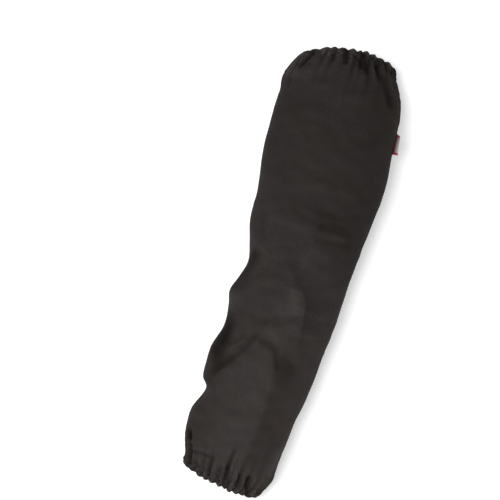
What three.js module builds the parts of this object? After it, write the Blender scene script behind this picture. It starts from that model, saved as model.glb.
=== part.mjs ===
// Flame-resistant cloth welding sleeve, lying on a flat surface and puffed as if an arm had just
// left it. It covers the arm from the wrist to over the elbow, and an elastic band in a turned
// hem gathers each end. Sizes are in millimetres. +Y runs from the wrist to the upper arm, +X to
// the side with the seam and its label, and +Z up from the surface. The origin is on that
// surface, under the middle of the sleeve's box.
import * as THREE from "three";

// Driving sizes of the sleeve as it lies
const sleeveLength = 527; // from station 0 by the wrist to the upper fold, along the middle
const sleeveWidth = 150; // across the upper arm
const sleeveHeight = 86; // top of the upper arm over the surface
const clothWall = 1.4;
const clearance = 0.3; // between two pieces that touch

// The elastic bands and the turned hems that carry them
const elasticWidth = 8;
const elasticThickness = 1.2;
const hemMargin = 2.5; // from the stitch line to the elastic
const hemTurn = 6; // the turned edge runs on this far under the body cloth
const foldRound = 0.75; // how far the fold rounds, as a share of the hem's thickness

// The two mouths, measured at the fold over the hollows between the ruffles
const wristMouthWidth = 90;
const wristMouthHeight = 37;
const wristTaper = 4; // each side is this much further out at the stitch line
const wristLean = -0.13; // rise along the sleeve for each millimetre to the right
const wristBow = 3.5; // how far the sides of the mouth are drawn back
const wristShift = -3.4; // how far the mouth lies to the right of the sleeve's axis
const wristReturn = 3.1; // the stitch line lies this much further right than the fold
const wristBulge = 5; // the middle of the wrist's fold lies this far outside station 0
const upperMouthWidth = 108;
const upperMouthHeight = 47;
const upperTaper = 6.8;
const upperLean = 0.09;
const upperBow = 11;
const upperShift = -5;
const upperReturn = -1.2;
const slantReach = 105; // the lean and the bow fade out within this distance of a fold

// The ruffles that the elastic gathers
const ruffleCount = 28;
const ruffleHeight = 2.3;
const scallopDepth = 1.6; // the fold waves this far along the sleeve
const innerRuffle = -0.35; // the hem's inner layer is gathered the other way
const wristGatherReach = 26;
const upperGatherReach = 38;
const gatherFalloff = 1.4;

// Waves round the sleeve that keep the ruffles from being all alike
const spacingWaves = [
  { count: 2, size: 0.15, start: 0 }, // spaces them evenly round a flat section
  { count: 3, size: 0.04, start: 1 },
  { count: 7, size: 0.02, start: 0 },
];
const heightWaves = [
  { count: 5, size: 0.25, start: 0.6 },
  { count: 9, size: 0.15, start: 2 },
];

// The side seam and the woven label that is caught in it
const seamColumn = 0; // columns round from the right-hand side
const seamRidge = 1.6; // turned-in cloth on the inside of the seam
const seamGroove = 0.7;
const labelPlace = 0.826; // middle of the label, as a share of the sleeve's length
const labelLength = 24;
const labelReach = 9.5; // how far it stands out of the seam
const labelThickness = 1.1;
const labelTilt = 1.1; // radians up from level

// Form of a section: how high its widest line lies, how square its top and its underside are,
// and how much deeper than the surface its underside would hang before the surface flattens it
const widestLine = 0.42;
const creaseFoot = 0.25; // creases fade in between these two shares of a section's height
const creaseTop = 0.55;
const topSquareness = 2.15;
const undersideSquareness = 2.7;
const undersideSag = 1.14;

// Mesh fineness
const columns = 2 * ruffleCount;
const leastRowSpacing = 8;
const labelFlats = 4;

// Sections between the hems. along is a share of sleeveLength from station 0, left and
// right are shares of half of sleeveWidth, and height is a share of sleeveHeight.
const bodySections = [
  { along: 0.057, left: 0.765, right: 0.725, height: 0.64 },
  { along: 0.093, left: 0.8, right: 0.75, height: 0.75 },
  { along: 0.138, left: 0.79, right: 0.785, height: 0.83 },
  { along: 0.182, left: 0.683, right: 0.806, height: 0.84 },
  { along: 0.197, left: 0.68, right: 0.823, height: 0.845 },
  { along: 0.213, left: 0.77, right: 0.842, height: 0.85 },
  { along: 0.248, left: 0.793, right: 0.874, height: 0.87 },
  { along: 0.284, left: 0.79, right: 0.9, height: 0.88 },
  { along: 0.335, left: 0.697, right: 0.913, height: 0.87 },
  { along: 0.381, left: 0.72, right: 0.941, height: 0.91 },
  { along: 0.414, left: 0.77, right: 0.955, height: 0.94 },
  { along: 0.45, left: 0.69, right: 0.964, height: 0.94 },
  { along: 0.487, left: 0.634, right: 0.968, height: 0.92 },
  { along: 0.527, left: 0.7, right: 0.972, height: 0.95 },
  { along: 0.572, left: 0.787, right: 0.988, height: 0.98 },
  { along: 0.638, left: 0.818, right: 1.034, height: 0.99 },
  { along: 0.727, left: 0.918, right: 1.062, height: 1 },
  { along: 0.802, left: 0.947, right: 1.01, height: 1 },
  { along: 0.846, left: 0.953, right: 0.99, height: 0.98 },
  { along: 0.891, left: 0.95, right: 0.965, height: 0.92 },
  { along: 0.925, left: 0.967, right: 0.915, height: 0.84 },
  { along: 0.948, left: 0.953, right: 0.84, height: 0.73 },
];

// Creases of the upper side. Each runs from one place to another, and a place is its share of
// sleeveLength along the sleeve and of half of sleeveWidth across it. width is a share of half
// of sleeveWidth, and depth a share of sleeveHeight.
const creases = [
  { name: "elbow crook", from: [0.487, -0.62], to: [0.505, -0.3], width: 0.14, depth: 0.06 },
  { name: "elbow fold", from: [0.572, 0.24], to: [0.571, 0.85], width: 0.12, depth: 0.04 },
  { name: "upper wrinkle", from: [0.63, 0.38], to: [0.623, 0.65], width: 0.11, depth: 0.025 },
  { name: "flank hollow", from: [0.468, 0.39], to: [0.409, 1], width: 0.16, depth: 0.04 },
  { name: "chevron left", from: [0.325, -0.14], to: [0.222, -0.62], width: 0.12, depth: 0.065 },
  { name: "chevron right", from: [0.318, -0.03], to: [0.268, 0.39], width: 0.13, depth: 0.055 },
  { name: "side pouch", from: [0.31, -0.64], to: [0.263, -0.54], width: 0.11, depth: 0.05 },
  { name: "wrist tuck", from: [0.095, -0.66], to: [0.06, -0.62], width: 0.1, depth: 0.045 },
  { name: "shoulder fold", from: [0.965, -0.63], to: [0.912, -0.83], width: 0.12, depth: 0.05 },
  { name: "upper gather", from: [0.965, 0.43], to: [0.92, 0.66], width: 0.11, depth: 0.06 },
  { name: "middle gather", from: [0.965, 0.22], to: [0.93, 0.3], width: 0.1, depth: 0.05 },
];

const clothMaterial = new THREE.MeshStandardMaterial({ color: 0x35302d, roughness: 0.95, metalness: 0 });
const elasticMaterial = new THREE.MeshStandardMaterial({ color: 0xd9d4c8, roughness: 0.9, metalness: 0 });
const labelMaterial = new THREE.MeshStandardMaterial({ color: 0xa8283a, roughness: 0.8, metalness: 0 });

// A hem is two layers of cloth with the elastic between them, joined by a round fold.
const channelDepth = clothWall + clearance;
const hemThickness = 2 * channelDepth + elasticThickness;
const foldReach = foldRound * hemThickness;
const elasticEnd = hemMargin + elasticWidth;
const hemWidth = elasticEnd + foldReach;

// Each end, with the direction along Y that leads from its fold into the sleeve.
const wristEnd = {
  fold: -wristBulge,
  inward: 1,
  mouthWidth: wristMouthWidth,
  mouthHeight: wristMouthHeight,
  taper: wristTaper,
  lean: wristLean,
  bow: wristBow,
  shift: wristShift,
  back: wristReturn,
  gatherReach: wristGatherReach,
};
const upperEnd = {
  fold: sleeveLength,
  inward: -1,
  mouthWidth: upperMouthWidth,
  mouthHeight: upperMouthHeight,
  taper: upperTaper,
  lean: upperLean,
  bow: upperBow,
  shift: upperShift,
  back: upperReturn,
  gatherReach: upperGatherReach,
};

const stitchLine = (end) => end.fold + end.inward * hemWidth;

const smooth = (share) => {
  const t = Math.min(1, Math.max(0, share));
  return t * t * (3 - 2 * t);
};

// The hem's own section, from its stitch line (outward 0) to its fold (outward hemWidth).
function hemSection(end, outward) {
  const inward = 1 - outward / hemWidth;
  const spread = end.taper * inward;
  const shift = end.shift + end.back * inward;
  return {
    left: end.mouthWidth / 2 + spread - shift,
    right: end.mouthWidth / 2 + spread + shift,
    height: end.mouthHeight + spread,
  };
}

// Every section in millimetres, with the two stitch lines at the ends.
const knots = [
  { y: stitchLine(wristEnd), ...hemSection(wristEnd, 0) },
  ...bodySections.map((row) => ({
    y: row.along * sleeveLength,
    left: (row.left * sleeveWidth) / 2,
    right: (row.right * sleeveWidth) / 2,
    height: row.height * sleeveHeight,
  })),
  { y: stitchLine(upperEnd), ...hemSection(upperEnd, 0) },
];

// The section at a station, on a smooth curve through the knots.
function bodySection(y) {
  const last = knots.length - 1;
  const after = knots.findIndex((knot) => knot.y > y);
  const i = after < 0 ? last - 1 : Math.max(0, after - 1);
  const [a, b] = [knots[i], knots[i + 1]];
  const span = b.y - a.y;
  const t = Math.min(1, Math.max(0, (y - a.y) / span));
  const slope = (j, key) => {
    const before = knots[Math.max(0, j - 1)];
    const next = knots[Math.min(last, j + 1)];
    return (next[key] - before[key]) / (next.y - before.y);
  };
  const curve = (key) =>
    a[key] * (1 + 2 * t) * (1 - t) ** 2 +
    b[key] * t * t * (3 - 2 * t) +
    slope(i, key) * span * t * (1 - t) ** 2 -
    slope(i + 1, key) * span * t * t * (1 - t);
  return { left: curve("left"), right: curve("right"), height: curve("height") };
}

// Column angles go round from the right-hand side over the top.
const columnAngle = (column) => (column / columns) * 2 * Math.PI;

function waveSum(waves, angle) {
  return waves.reduce((sum, wave) => sum + wave.size * Math.sin(wave.count * angle + wave.start), 0);
}

// A ruffle's share of its full height: 0 in the hollows and 1 on the puffs between them.
const puff = (angle) => Math.sin((ruffleCount * angle) / 2) ** 2;

const ruffleLift = (angle) => ruffleHeight * (1 + waveSum(heightWaves, angle)) * puff(angle);

// A point of a section. depth is how far it lies under the cloth's outer face, and lift moves
// the cloth out of its plain form. What would hang below the surface is flattened on it.
function sectionPoint(section, angle, depth, lift) {
  const around = angle + waveSum(spacingWaves, angle);
  const cos = Math.cos(around);
  const sin = Math.sin(around);
  const squareness = sin > 0 ? topSquareness : undersideSquareness;
  const middle = section.height * widestLine;
  const rise = sin > 0 ? section.height - middle : middle * undersideSag;
  const half = cos > 0 ? section.right : section.left;
  const x = Math.sign(cos) * (half - depth + lift) * Math.abs(cos) ** (2 / squareness);
  const z = middle + Math.sign(sin) * (rise - depth + lift) * Math.abs(sin) ** (2 / squareness);
  return { x, z: Math.max(z, depth) };
}

// How far the slanting ends move a point along the sleeve.
function slant(x, y) {
  const shift = (end) => {
    const fade = 1 - smooth(Math.abs(y - end.fold) / slantReach);
    const side = x / (end.mouthWidth / 2);
    return fade * (end.lean * x + end.inward * end.bow * side * side);
  };
  return shift(wristEnd) + shift(upperEnd);
}

const creasePlace = ([along, across]) => new THREE.Vector2((across * sleeveWidth) / 2, along * sleeveLength);

// Creases work on the upper side and stop short of the cloth that the hems lap under.
function creaseLift(x, y, rise) {
  const clear = (end) => smooth((Math.abs(y - stitchLine(end)) - hemTurn) / (2 * hemTurn));
  const here = new THREE.Vector2(x, y + slant(x, y));
  let lift = 0;
  for (const crease of creases) {
    const start = creasePlace(crease.from);
    const way = creasePlace(crease.to).sub(start);
    const offset = here.clone().sub(start);
    const share = Math.min(1, Math.max(0, offset.dot(way) / way.lengthSq()));
    const distance = offset.sub(way.multiplyScalar(share)).length();
    const width = (crease.width * sleeveWidth) / 2;
    lift -= crease.depth * sleeveHeight * Math.exp(-((distance / width) ** 2));
  }
  return lift * smooth((rise - creaseFoot) / (creaseTop - creaseFoot)) * clear(wristEnd) * clear(upperEnd);
}

function gatherLift(angle, y) {
  const fade = (end) => Math.exp(-((Math.abs(y - stitchLine(end)) / end.gatherReach) ** gatherFalloff));
  return ruffleLift(angle) * (fade(wristEnd) + fade(upperEnd));
}

function bodyPoint(column, y, depth) {
  const angle = columnAngle(column);
  const section = bodySection(y);
  const plain = sectionPoint(section, angle, 0, 0);
  const fromHem = Math.min(y - stitchLine(wristEnd), stitchLine(upperEnd) - y);
  const atSeam = column === seamColumn && fromHem > hemTurn + clearance;
  const groove = atSeam ? seamGroove : 0;
  const ridge = atSeam && depth > 0 ? seamRidge : 0;
  const lift = gatherLift(angle, y) + creaseLift(plain.x, y, plain.z / section.height) - groove;
  const { x, z } = sectionPoint(section, angle, depth + ridge, lift);
  return new THREE.Vector3(x, y + slant(x, y), z);
}

function solid(positions, indices) {
  const geometry = new THREE.BufferGeometry();
  geometry.setAttribute("position", new THREE.Float32BufferAttribute(positions, 3));
  geometry.setIndex(indices);
  geometry.computeVertexNormals();
  return geometry;
}

// A closed ring of cloth: each row of its profile is one loop of points, and the last row joins
// the first. The outer rows come first and run along +Y. Every quad is split from its lower left
// to its upper right as seen along the sleeve, so that layers of cloth fold along the same lines.
function ringSolid(rows, pointAt) {
  const points = rows.flatMap((row) => Array.from({ length: columns }, (_, column) => pointAt(row, column)));
  const indices = [];
  for (let i = 0; i < points.length; i++) {
    const side = i % columns === columns - 1 ? i + 1 - columns : i + 1;
    const next = (i + columns) % points.length;
    const nextSide = (side + columns) % points.length;
    if (points[next].y >= points[i].y) indices.push(i, nextSide, side, i, next, nextSide);
    else indices.push(i, next, side, side, next, nextSide);
  }
  return solid(points.flatMap((point) => point.toArray()), indices);
}

// Stations of the body's rings. What the hems lap and what the label stands on has rings of its
// own, so that both follow the same flats.
function bodyStations() {
  const labelStart = labelPlace * sleeveLength - labelLength / 2;
  const labelStop = labelStart + labelLength;
  const needed = [
    stitchLine(wristEnd) + clearance,
    stitchLine(wristEnd) + hemTurn,
    labelStart,
    labelStop,
    stitchLine(upperEnd) - hemTurn,
    stitchLine(upperEnd) - clearance,
  ];
  const free = knots
    .map((knot) => knot.y)
    .filter((y) => y > needed[1] && y < needed[4] && (y < labelStart || y > labelStop))
    .filter((y) => needed.every((other) => Math.abs(other - y) > leastRowSpacing));
  return [...needed, ...free].sort((a, b) => a - b);
}

function makeBody() {
  const stations = bodyStations();
  const outer = stations.map((y) => ({ y, depth: 0 }));
  const inner = stations.map((y) => ({ y, depth: clothWall }));
  return ringSolid([...outer, ...inner.reverse()], (row, column) => bodyPoint(column, row.y, row.depth));
}

// The hem's profile goes from the stitch line over the fold to the turned edge and back through
// the channel. ruffle is the share of a ruffle that each row takes up.
const hemProfile = [
  { outward: 0, depth: 0, ruffle: 1 },
  { outward: elasticEnd, depth: 0, ruffle: 1.15 },
  { outward: hemWidth, depth: hemThickness / 2, ruffle: 0.9 },
  { outward: elasticEnd, depth: hemThickness, ruffle: innerRuffle },
  { outward: hemMargin, depth: hemThickness, ruffle: innerRuffle },
  { outward: 0, depth: channelDepth + clothWall, ruffle: 0.9 },
  { outward: -hemTurn, depth: channelDepth + clothWall, ruffle: 0.75 },
  { outward: -hemTurn, depth: channelDepth, ruffle: 0.75 },
  { outward: 0, depth: channelDepth, ruffle: 0.9 },
  { outward: hemMargin - clearance, depth: hemThickness - clothWall, ruffle: innerRuffle },
  { outward: elasticEnd + clearance, depth: hemThickness - clothWall, ruffle: innerRuffle },
  { outward: hemWidth - clothWall, depth: hemThickness / 2, ruffle: 0.6 },
  { outward: elasticEnd + clearance, depth: clothWall, ruffle: 1.1 },
  { outward: 0, depth: clothWall, ruffle: 1 },
];

const elasticProfile = [
  { outward: hemMargin, depth: channelDepth, ruffle: 0 },
  { outward: elasticEnd, depth: channelDepth, ruffle: 0 },
  { outward: elasticEnd, depth: channelDepth + elasticThickness, ruffle: 0 },
  { outward: hemMargin, depth: channelDepth + elasticThickness, ruffle: 0 },
];

function hemPoint(end, row, column) {
  const angle = columnAngle(column);
  const folded = Math.max(0, row.outward) / hemWidth;
  const y = end.fold + end.inward * (hemWidth - row.outward);
  const section = row.outward < 0 ? bodySection(y) : hemSection(end, row.outward);
  const { x, z } = sectionPoint(section, angle, row.depth, row.ruffle * ruffleLift(angle));
  const scallop = end.inward * folded * scallopDepth * (1 - puff(angle));
  return new THREE.Vector3(x, y + scallop + slant(x, y), z);
}

function makeHemRing(end, profile) {
  const rows = end.inward > 0 ? profile.toReversed() : profile;
  return ringSolid(rows, (row, column) => hemPoint(end, row, column));
}

// The label is folded tape that stands on the seam, over the flat between two of the body's
// rings. Its section runs along the lower face, round the fold and back.
function makeLabel() {
  const middle = labelPlace * sleeveLength;
  const out = new THREE.Vector3(Math.cos(labelTilt), 0, Math.sin(labelTilt));
  const across = new THREE.Vector3(-out.z, 0, out.x).multiplyScalar(labelThickness / 2);
  const foldStart = labelReach - labelThickness / 2;
  const section = [{ reach: 0, side: -1 }];
  for (let i = 0; i <= labelFlats; i++) {
    const turn = (i / labelFlats - 0.5) * Math.PI;
    section.push({ reach: foldStart + (Math.cos(turn) * labelThickness) / 2, side: Math.sin(turn) });
  }
  section.push({ reach: 0, side: 1 });

  const positions = [];
  for (const y of [middle - labelLength / 2, middle + labelLength / 2]) {
    const foot = bodyPoint(seamColumn, y, 0);
    foot.x += clearance + labelThickness / 2;
    for (const { reach, side } of section) {
      const point = foot.clone().addScaledVector(out, reach).addScaledVector(across, side);
      positions.push(...point.toArray());
    }
  }
  const count = section.length;
  const indices = [];
  for (let i = 0; i < count; i++) {
    const j = (i + 1) % count;
    indices.push(i, i + count, j + count, i, j + count, j);
  }
  for (let i = 1; i < count - 1; i++) {
    indices.push(0, i, i + 1, count, count + i + 1, count + i);
  }
  return solid(positions, indices);
}

function piece(name, geometry, material) {
  const mesh = new THREE.Mesh(geometry, material);
  mesh.name = name;
  return mesh;
}

const sleeve = new THREE.Group();
sleeve.add(
  piece("sleeve_body", makeBody(), clothMaterial),
  piece("wrist_hem", makeHemRing(wristEnd, hemProfile), clothMaterial),
  piece("upper_hem", makeHemRing(upperEnd, hemProfile), clothMaterial),
  piece("wrist_elastic", makeHemRing(wristEnd, elasticProfile), elasticMaterial),
  piece("upper_elastic", makeHemRing(upperEnd, elasticProfile), elasticMaterial),
  piece("side_label", makeLabel(), labelMaterial),
);

// The origin goes under the middle of the box.
const box = new THREE.Box3().setFromObject(sleeve);
const boxMiddle = box.getCenter(new THREE.Vector3());
sleeve.position.set(-boxMiddle.x, -boxMiddle.y, -box.min.z);

const part = new THREE.Group();
part.add(sleeve);

export default part;
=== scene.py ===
"""Welding sleeve: the finished look of a gathered cloth tube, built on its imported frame.

The frame's solids give every place. The cloth, its two turned hems, the stitching and the woven
label are made here as fine surfaces on the same sections, and stand for the plain solids.
"""

import math
from collections import namedtuple

import bpy
import numpy as np
from bpy.props import FloatProperty, FloatVectorProperty, IntProperty, PointerProperty
from bpy.types import Operator, Panel, PropertyGroup
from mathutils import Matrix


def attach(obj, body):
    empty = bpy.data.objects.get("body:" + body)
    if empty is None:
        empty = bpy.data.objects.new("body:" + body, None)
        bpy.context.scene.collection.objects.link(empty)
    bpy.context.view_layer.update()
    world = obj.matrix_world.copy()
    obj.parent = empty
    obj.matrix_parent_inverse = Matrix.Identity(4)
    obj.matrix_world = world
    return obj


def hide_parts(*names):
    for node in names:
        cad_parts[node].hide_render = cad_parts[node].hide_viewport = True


bl_info = {
    "name": "Welding sleeve",
    "version": (1, 0, 0),
    "blender": (4, 5, 0),
    "location": "View3D > Sidebar > Sleeve",
    "description": "Makes the cloth, hems, stitching and label of a welding sleeve",
    "category": "Object",
}

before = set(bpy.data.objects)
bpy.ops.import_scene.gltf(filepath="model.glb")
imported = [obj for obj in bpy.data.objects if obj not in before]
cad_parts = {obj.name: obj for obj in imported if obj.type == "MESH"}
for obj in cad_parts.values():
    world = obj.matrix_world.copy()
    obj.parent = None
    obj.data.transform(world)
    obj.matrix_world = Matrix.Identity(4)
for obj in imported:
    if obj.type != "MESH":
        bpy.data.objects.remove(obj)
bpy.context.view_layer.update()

MM = 0.001
TURN = 2.0 * math.pi

# Where the solids' own origin lies in the frame: the sleeve's axis, and station 0 by the wrist
AXIS_X = -3.59 * MM
STATION_Y = -260.035 * MM

# Where the camera stands over the sleeve, from that origin, how far it is turned, and its sensor
# in millimetres
CAMERA_ASIDE = -49.055 * MM
CAMERA_ALONG = 268.97 * MM
CAMERA_TURN = math.radians(17.24)
SENSOR_WIDTH = 36.0

# How far the floor reaches from the middle, how deep it lies and its points along a side, and the
# place and size of the large soft light
FLOOR_REACH = 4.0
FLOOR_DROP = 0.4 * MM
FLOOR_POINTS = 9
KEY_PLACE = (-0.62, -0.08, 1.62)
KEY_SIZE = 0.9

# Points of the meshes: columns round a hem and round the tube, rows along the tube, how many rows
# of the outside there are to one of the inside, and how much closer they lie at the ends
HEM_COLUMNS = 672
BODY_COLUMNS = 336
OUTER_ROWS = 216
INNER_STEP = 3
ROW_CROWDING = 0.35

# Girth that the cloth's threads are counted on, and mean radius of the mouths
GIRTH = 0.4
MEAN_RADIUS = 55.0 * MM

# The hem's profile, as the solids have it
CLEARANCE = 0.3 * MM
ELASTIC_WIDTH = 8.0 * MM
ELASTIC_THICKNESS = 1.2 * MM
HEM_MARGIN = 2.5 * MM
HEM_TURN = 6.0 * MM
FOLD_ROUND = 0.75
SLANT_REACH = 105.0 * MM
EDGE_ROW = 0.35 * MM  # a row of points this near an edge keeps its corner crisp
JOIN = 0.04 * MM  # between the tube and a hem, which are one cloth on the real thing

# Share of the ruffles that each part of the hem takes
FOLD_RUFFLE = 1.15
ROOF_RUFFLE = 1.1
STITCHED_RUFFLE = 0.9
TURNED_RUFFLE = 0.75
INNER_RUFFLE = -0.35
ELASTIC_ROOM = 0.15 * MM  # a crease stays this far off the elastic
OPEN_ROOM = 10.0 * MM  # and has this much room where there is none

# Form of a section. Creases, their shade and the soft patches fade in between a foot and a top,
# which are shares of the height
WIDEST_LINE = 0.42
TOP_SQUARENESS = 2.15
UNDERSIDE_SQUARENESS = 2.7
UNDERSIDE_SAG = 1.14
CREASE_FOOT = 0.36
CREASE_TOP = 0.62
SHADE_FOOT = 0.26
SHADE_TOP = 0.56
DARKEST = 1.9  # a shade this strong reaches down to the foot, and weaker ones end higher up
TONE_FOOT = 0.12
TONE_TOP = 0.34

# The seam and its label
SEAM_ANGLE = 0.0
SEAM_RIDGE = 1.6 * MM
SEAM_GROOVE = 0.8 * MM
SEAM_WIDTH = 2.0 * MM
LABEL_PLACE = 0.826
LABEL_TILT = 1.1
LABEL_TWIST = 0.3  # it leans over further at its wrist end than at the other
LABEL_FOOT = 24.0 * MM  # along the seam, as the solid has it
LABEL_LENGTH = 27.0 * MM
LABEL_SLOPE = 3.0 * MM  # its outer corner by the upper arm lies this much nearer the wrist
LABEL_REACH = 9.5 * MM
LABEL_THICKNESS = 1.1 * MM
LABEL_TAPE = 0.35 * MM
LABEL_ROOT = 0.3 * MM  # how far its foot reaches into the seam
LABEL_PINCH = 0.45  # its two layers lie this much closer by the seam
LABEL_CURL = 0.4 * MM
LABEL_ROWS = 41
LABEL_FLAT_POINTS = 16
LABEL_TURN_POINTS = 9

# The label's weave: red ends inside dark lines, the start of the grey field and the dark part by
# the seam as shares of the reach
LABEL_END = 2.6 * MM
LABEL_LINE = 0.4 * MM
LABEL_FIELD = 0.6
LABEL_DARK_PART = 0.17
LABEL_DARK = (0.03, 0.022, 0.024, 1)
LABEL_WEFT = 0.45 * MM
LABEL_WARP = 0.6 * MM

# Noise in the finishes: bumps per metre, detail and roughness
YARN = (1.0, 2.0, 0.6)
YARN_STRETCH = (900, 260, 1)
NAP = (1400.0, 3.0, 0.65)
WARM_PATCHES = (21.0, 1.0, 0.5)
LINT = (520.0, 1.0, 0.4)
TWIST = (2600.0, 2.0, 0.6)
BRAID = (1500.0, 2.0, 0.6)
FUZZ = (1800.0, 2.0, 0.6)

# The cloth's threads: their shares, the least shade and what they add, relief of weave and nap
RIB_SHARE, WEFT_SHARE, YARN_SHARE = 0.55, 0.2, 0.25
WEAVE_DARK, WEAVE_LIGHT = 0.82, 0.36
WEAVE_RELIEF, NAP_RELIEF = 0.7, 0.45
ROUGHNESS, ROUGHNESS_SPAN = 0.86, 0.16
LINT_EDGE, LINT_SHARE = (0.76, 0.06), 0.05

# The cloth's tone from dark 0 to light 1: in the middle, how it falls over a metre towards the
# upper arm, and the share of its grain, patches and clouds
TONE_MIDDLE = 0.56
TONE_FALL = 1.5
TONE_PATCHES = (((330.0, 2.0, 0.6), 0.4), ((17.0, 4.0, 0.55), 0.45), ((6.0, 2.0, 0.5), 0.5))
WARM_TINT = (1.04, 0.99, 0.84, 1)
WARM_EDGE = (0.52, 0.16)
WARM_SHARE = 0.1  # everywhere, and more from a place across on and from a place along on
# More warm patches on the right flank, painted there as warm light bounced onto it: where that
# starts across, how softly, and its share
WARM_BOUNCE_FLANK, WARM_BOUNCE_SHARE = (33 * MM, 30 * MM), 0.5
WARM_END, WARM_END_SHARE = (0.24, 0.04), 0.4
SHADE_STRENGTH = 0.3  # share of the light that is left where the shade is 1
# How the painted shade turns browner the darker it is
PAINTED_SHADE_TINT = (1.1, 0.97, 0.9)

# The elastic's ribs and the rubber between the braid
ELASTIC_RIB = 1.1 * MM
ELASTIC_RUBBER = (0.42, 0.39, 0.34, 1)

# Stitches: their radius, share of the step that shows, how many round a hem and how far from its
# edge, and how many along the seam, from how far off the hems and how far below the seam
STITCH_RADIUS = 0.28 * MM
STITCH_SHARE = 0.72
STITCH_SINK = 0.15
STITCH_ARCH = 0.9
HEM_STITCHES = 112
HEM_STITCH_INSET = 1.4 * MM
SEAM_STITCHES = 136
SEAM_STITCH_END = 9.0 * MM
SEAM_STITCH_ASIDE = 3.2 * MM

# Where a flank stands out or is drawn in: along and angle, how far it reaches both ways, and lift
FLANKS = ((0.04, 0.1, 0.017, 0.7, 3.0 * MM),)

# Waves round the sleeve: count, size and start
SPACING_WAVES = ((2, 0.15, 0.0), (3, 0.04, 1.0), (7, 0.02, 0.0))
HEIGHT_WAVES = ((5, 0.25, 0.6), (9, 0.15, 2.0))
CROWDING_WAVES = ((3, 0.6, 1.1), (5, 0.5, 4.0), (11, 0.22, 2.0))
CALM_ANGLE = 2.25
CALM_REACH = 0.5
SCALLOP_START = 1.0

# Ruffles and the hollows between them: the least of each measure, and the most that chance adds
CHANCE_SEED = 41
CHANCES = ROUND, TALL, WILD = range(3)
PUFF_POWER = (0.7, 1.1)
PUFF_HEIGHT = (0.55, 0.45)
HOLLOW_REACH = (0.35, 1.1)  # shares of the end's own reach
HOLLOW_DEPTH = (0.2 * MM, 1.7 * MM)
HOLLOW_WIDTH = 2.4 * MM
HOLLOW_FADE = 1.6
STREAK_SHADE = (0.3, 1.0)
GATHER_FADE = 1.4
HEM_CALM = 6.0 * MM  # over this far from the stitch line, waves and hollows come in

# How much painted shade lies in a ruffle's hollow, less where the end is calm, and how much
# painted highlight lies on each millimetre of a crinkle, a wrinkle, a small wave and a fine
# crinkle, and on a crease's lip
HOLLOW_SHADE = 0.5
CALM_SHADE = 0.4
CRINKLE_SHADE = 0.4
WRINKLE_SHADE = 0.2
SMALL_SHADE = 0.3
FINE_SHADE = 0.12
LIP_SHADE = 0.4
LIP_PLACE = 1.5  # in widths of the crease

# Soft noise: size, most waves round the sleeve, wavelength along it, how many waves, and seed
Ripple = namedtuple("Ripple", "size around wavelength count seed")
SOFT_WAVES = Ripple(0.5 * MM, 4, 90 * MM, 12, 3)
SMALL_WAVES = Ripple(0.16 * MM, 16, 24 * MM, 16, 5)
FINE_CRINKLES = Ripple(0.4 * MM, 46, 9 * MM, 18, 8)
FOLD_CRINKLES = Ripple(0.55 * MM, 70, 8 * MM, 20, 12)
WRINKLES = (Ripple(0.8 * MM, 4, 40 * MM, 9, 21), Ripple(0.5 * MM, 8, 20 * MM, 9, 31))
WRINKLE_PATCHES = Ripple(0.7, 3, 120 * MM, 6, 0)
WRINKLE_POWER = 5
WAVELENGTHS = (0.7, 1.6)
CRINKLE_REACH = 24.0 * MM
CRINKLE_FADE = 1.5
WAVE_FOOT = 0.3
WAVE_RISE = 0.25

# How strong the wrinkles are: everywhere, round the elbow, and below the forearm's middle
WRINKLED = 0.15
ELBOW_PLACE, ELBOW_REACH, ELBOW_WRINKLED = 0.45, 0.22, 0.8
FOREARM_PLACE, FOREARM_REACH, FOREARM_WRINKLED = 0.3, 0.2, 0.3

# Sections between the hems: along as a share of the length, left and right as shares of half of
# the width, and height as a share of the height
SECTIONS = (
    (0.057, 0.765, 0.725, 0.64),
    (0.093, 0.8, 0.75, 0.75),
    (0.138, 0.79, 0.785, 0.83),
    (0.182, 0.683, 0.806, 0.84),
    (0.197, 0.68, 0.823, 0.845),
    (0.213, 0.77, 0.842, 0.85),
    (0.248, 0.793, 0.874, 0.87),
    (0.284, 0.79, 0.9, 0.88),
    (0.335, 0.697, 0.913, 0.87),
    (0.381, 0.72, 0.941, 0.91),
    (0.414, 0.77, 0.955, 0.94),
    (0.45, 0.69, 0.964, 0.94),
    (0.487, 0.634, 0.968, 0.92),
    (0.527, 0.7, 0.972, 0.95),
    (0.572, 0.787, 0.988, 0.98),
    (0.638, 0.818, 1.034, 0.99),
    (0.727, 0.918, 1.062, 1.0),
    (0.802, 0.947, 1.01, 1.0),
    (0.846, 0.953, 0.99, 0.98),
    (0.891, 0.95, 0.965, 0.92),
    (0.925, 0.967, 0.915, 0.84),
    (0.948, 0.953, 0.84, 0.73),
)

Crease = namedtuple("Crease", "path width depth lip shade")
Drop = namedtuple("Drop", "path width depth reach shade")
ShadePatch = namedtuple("ShadePatch", "along across long wide shade")
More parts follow.
